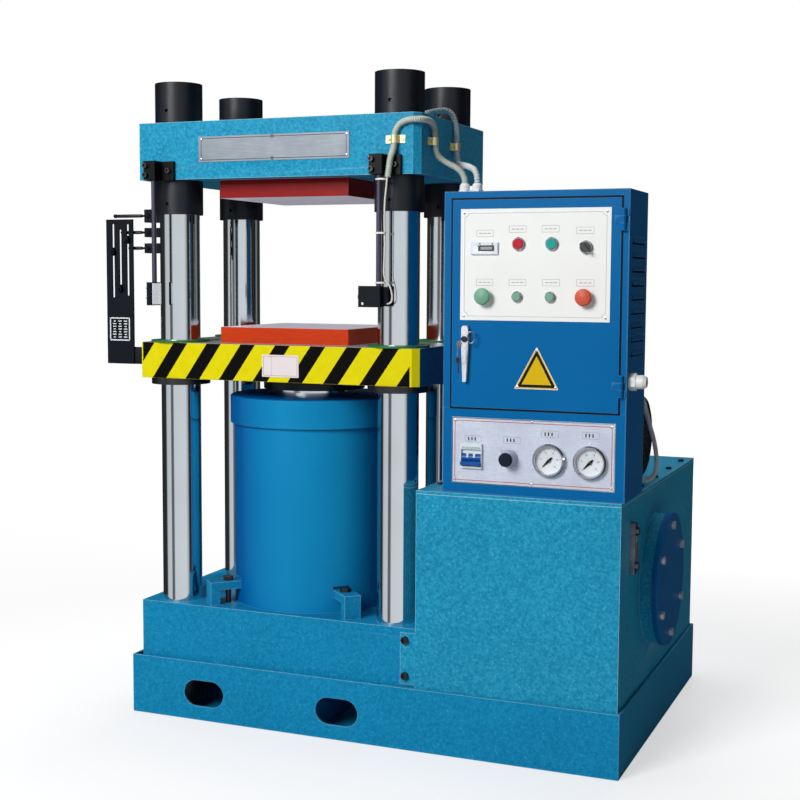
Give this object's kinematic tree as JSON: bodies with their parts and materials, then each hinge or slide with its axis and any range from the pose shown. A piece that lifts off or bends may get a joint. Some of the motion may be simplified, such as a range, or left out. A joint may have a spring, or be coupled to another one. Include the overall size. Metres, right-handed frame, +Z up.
{
  "type": "hydraulic press",
  "caption": "Upstroke column press with flat platens, a moving table, an oil tank, a control cabinet, a light barrier and limit switches.",
  "frame": {"origin": "on the floor under the ram's axis", "axes": "+X to the operator's right, +Y to the back, +Z up"},
  "size_m": [1.473, 0.929, 1.595],
  "materials": {
    "hammered_blue": "hammered enamel",
    "cylinder_blue": "gloss enamel",
    "cabinet_blue": "powder coat",
    "platen_red": "enamel with ground faces",
    "hard_chrome": "polished",
    "blackened_steel": "black oxide",
    "bright_steel": "machined",
    "seal_rubber": "moulded",
    "pump_grey": "painted casting",
    "pipe_steel": "zinc plated",
    "panel_white": "satin coat",
    "button_red": "moulded",
    "button_green": "moulded",
    "button_pale_green": "moulded",
    "control_black": "moulded",
    "bezel_metal": "plated",
    "toggle_blue": "moulded",
    "breaker_grey": "moulded",
    "conduit_grey": "ribbed",
    "fitting_nylon": "moulded"
  },
  "bodies": {
    "root": {"base_tray": "hammered_blue", "bolster": "hammered_blue", "breaker_body": "breaker_grey", "cabinet_shell": "cabinet_blue", "cleaning_cover": "hammered_blue", "column_nuts": "blackened_steel", "columns": "hard_chrome", "conduit_1": "conduit_grey", "conduit_2": "conduit_grey", "conduit_3": "conduit_grey", "conduit_fittings": "fitting_nylon", "crosshead": "hammered_blue", "cylinder_body": "cylinder_blue", "cylinder_clamps": "hammered_blue", "cylinder_gland": "cylinder_blue", "cylinder_seals": "seal_rubber", "door_hinges": "cabinet_blue", "instrument_strip": "bright_steel", "level_gauge": "bezel_metal", "limit_rail": "blackened_steel", "limit_switches": "control_black", "motor": "pump_grey", "nameplate": "bright_steel", "oil_pipes": "pipe_steel", "pressure_gauges": "bezel_metal", "pump": "pump_grey", "screws": "blackened_steel", "sensor_cable": "conduit_grey", "sensor_heads": "blackened_steel", "sensor_stands": "bright_steel", "tank_lid": "hammered_blue", "tank_shell": "hammered_blue", "upper_platen": "platen_red", "valve_block": "pump_grey"},
    "table": {"moving_table": "hammered_blue", "guide_bushes": "blackened_steel", "lower_platen": "platen_red", "ram": "hard_chrome", "ram_flange": "blackened_steel", "limit_plate": "blackened_steel", "limit_dogs": "blackened_steel"},
    "door": {"cabinet_door": "cabinet_blue", "control_panel": "panel_white", "button_bezels": "bezel_metal", "counter": "control_black"},
    "lock": {"lock_handle": "bezel_metal"},
    "stop_button": {"stop_button": "button_red"},
    "start_button": {"start_button": "button_green"},
    "close_button": {"close_button": "button_green"},
    "rise_button": {"rise_button": "button_pale_green"},
    "lower_button": {"lower_button": "button_pale_green"},
    "open_button": {"open_button": "button_red"},
    "selector": {"selector_knob": "control_black"},
    "breaker_toggle": {"breaker_toggle": "toggle_blue"},
    "pressure_knob": {"pressure_knob": "control_black"},
    "gauge_pointer_left": {"gauge_pointer_left": "control_black"},
    "gauge_pointer_right": {"gauge_pointer_right": "control_black"},
    "limit_lever_1": {"limit_lever_1": "blackened_steel"},
    "limit_lever_2": {"limit_lever_2": "blackened_steel"},
    "limit_lever_3": {"limit_lever_3": "blackened_steel"}
  },
  "joints": [
    {"name": "table_lift", "type": "slide", "parent": "root", "child": "table", "axis": [0, 0, 1], "range_m": [0, 0.25]},
    {"name": "door_swing", "type": "hinge", "parent": "root", "child": "door", "pos_m": [0.8535, -0.226, 1.063], "axis": [0, 0, 1], "range_deg": [0, 110]},
    {"name": "lock_turn", "type": "hinge", "parent": "door", "child": "lock", "pos_m": [0.493, -0.222, 0.978], "axis": [0, 1, 0], "range_deg": [-90, 0]},
    {"name": "stop_button_press", "type": "slide", "parent": "door", "child": "stop_button", "axis": [0, 1, 0], "range_m": [0, 0.004], "stiffness_N_per_m": 300, "springref_m": -0.002},
    {"name": "start_button_press", "type": "slide", "parent": "door", "child": "start_button", "axis": [0, 1, 0], "range_m": [0, 0.004], "stiffness_N_per_m": 300, "springref_m": -0.002},
    {"name": "close_button_press", "type": "slide", "parent": "door", "child": "close_button", "axis": [0, 1, 0], "range_m": [0, 0.004], "stiffness_N_per_m": 300, "springref_m": -0.002},
    {"name": "rise_button_press", "type": "slide", "parent": "door", "child": "rise_button", "axis": [0, 1, 0], "range_m": [0, 0.004], "stiffness_N_per_m": 300, "springref_m": -0.002},
    {"name": "lower_button_press", "type": "slide", "parent": "door", "child": "lower_button", "axis": [0, 1, 0], "range_m": [0, 0.004], "stiffness_N_per_m": 300, "springref_m": -0.002},
    {"name": "open_button_press", "type": "slide", "parent": "door", "child": "open_button", "axis": [0, 1, 0], "range_m": [0, 0.004], "stiffness_N_per_m": 300, "springref_m": -0.002},
    {"name": "selector_turn", "type": "hinge", "parent": "door", "child": "selector", "pos_m": [0.771, -0.2235, 1.185], "axis": [0, 1, 0], "range_deg": [0, 90]},
    {"name": "breaker_flip", "type": "hinge", "parent": "root", "child": "breaker_toggle", "pos_m": [0.5095, -0.2205, 0.705], "axis": [-1, 0, 0], "range_deg": [0, 66]},
    {"name": "pressure_turn", "type": "hinge", "parent": "root", "child": "pressure_knob", "pos_m": [0.599, -0.2215, 0.708], "axis": [0, 1, 0], "range_deg": [-720, 0]},
    {"name": "pointer_left_sweep", "type": "hinge", "parent": "root", "child": "gauge_pointer_left", "pos_m": [0.694, -0.2265, 0.709], "axis": [0, 1, 0], "range_deg": [0, 270], "stiffness_Nm_per_rad": 0.0005, "springref_deg": -28.65},
    {"name": "pointer_right_sweep", "type": "hinge", "parent": "root", "child": "gauge_pointer_right", "pos_m": [0.788, -0.2265, 0.709], "axis": [0, 1, 0], "range_deg": [0, 270], "stiffness_Nm_per_rad": 0.0005, "springref_deg": -28.65},
    {"name": "lever_1_tip", "type": "hinge", "parent": "root", "child": "limit_lever_1", "pos_m": [-0.444, -0.09, 1.274], "axis": [0, 1, 0], "range_deg": [0, 20], "stiffness_Nm_per_rad": 0.2, "springref_deg": -11.46},
    {"name": "lever_2_tip", "type": "hinge", "parent": "root", "child": "limit_lever_2", "pos_m": [-0.444, -0.09, 1.231], "axis": [0, 1, 0], "range_deg": [0, 20], "stiffness_Nm_per_rad": 0.2, "springref_deg": -11.46},
    {"name": "lever_3_tip", "type": "hinge", "parent": "root", "child": "limit_lever_3", "pos_m": [-0.444, -0.09, 1.19], "axis": [0, 1, 0], "range_deg": [0, 20], "stiffness_Nm_per_rad": 0.2, "springref_deg": -11.46}
  ]
}
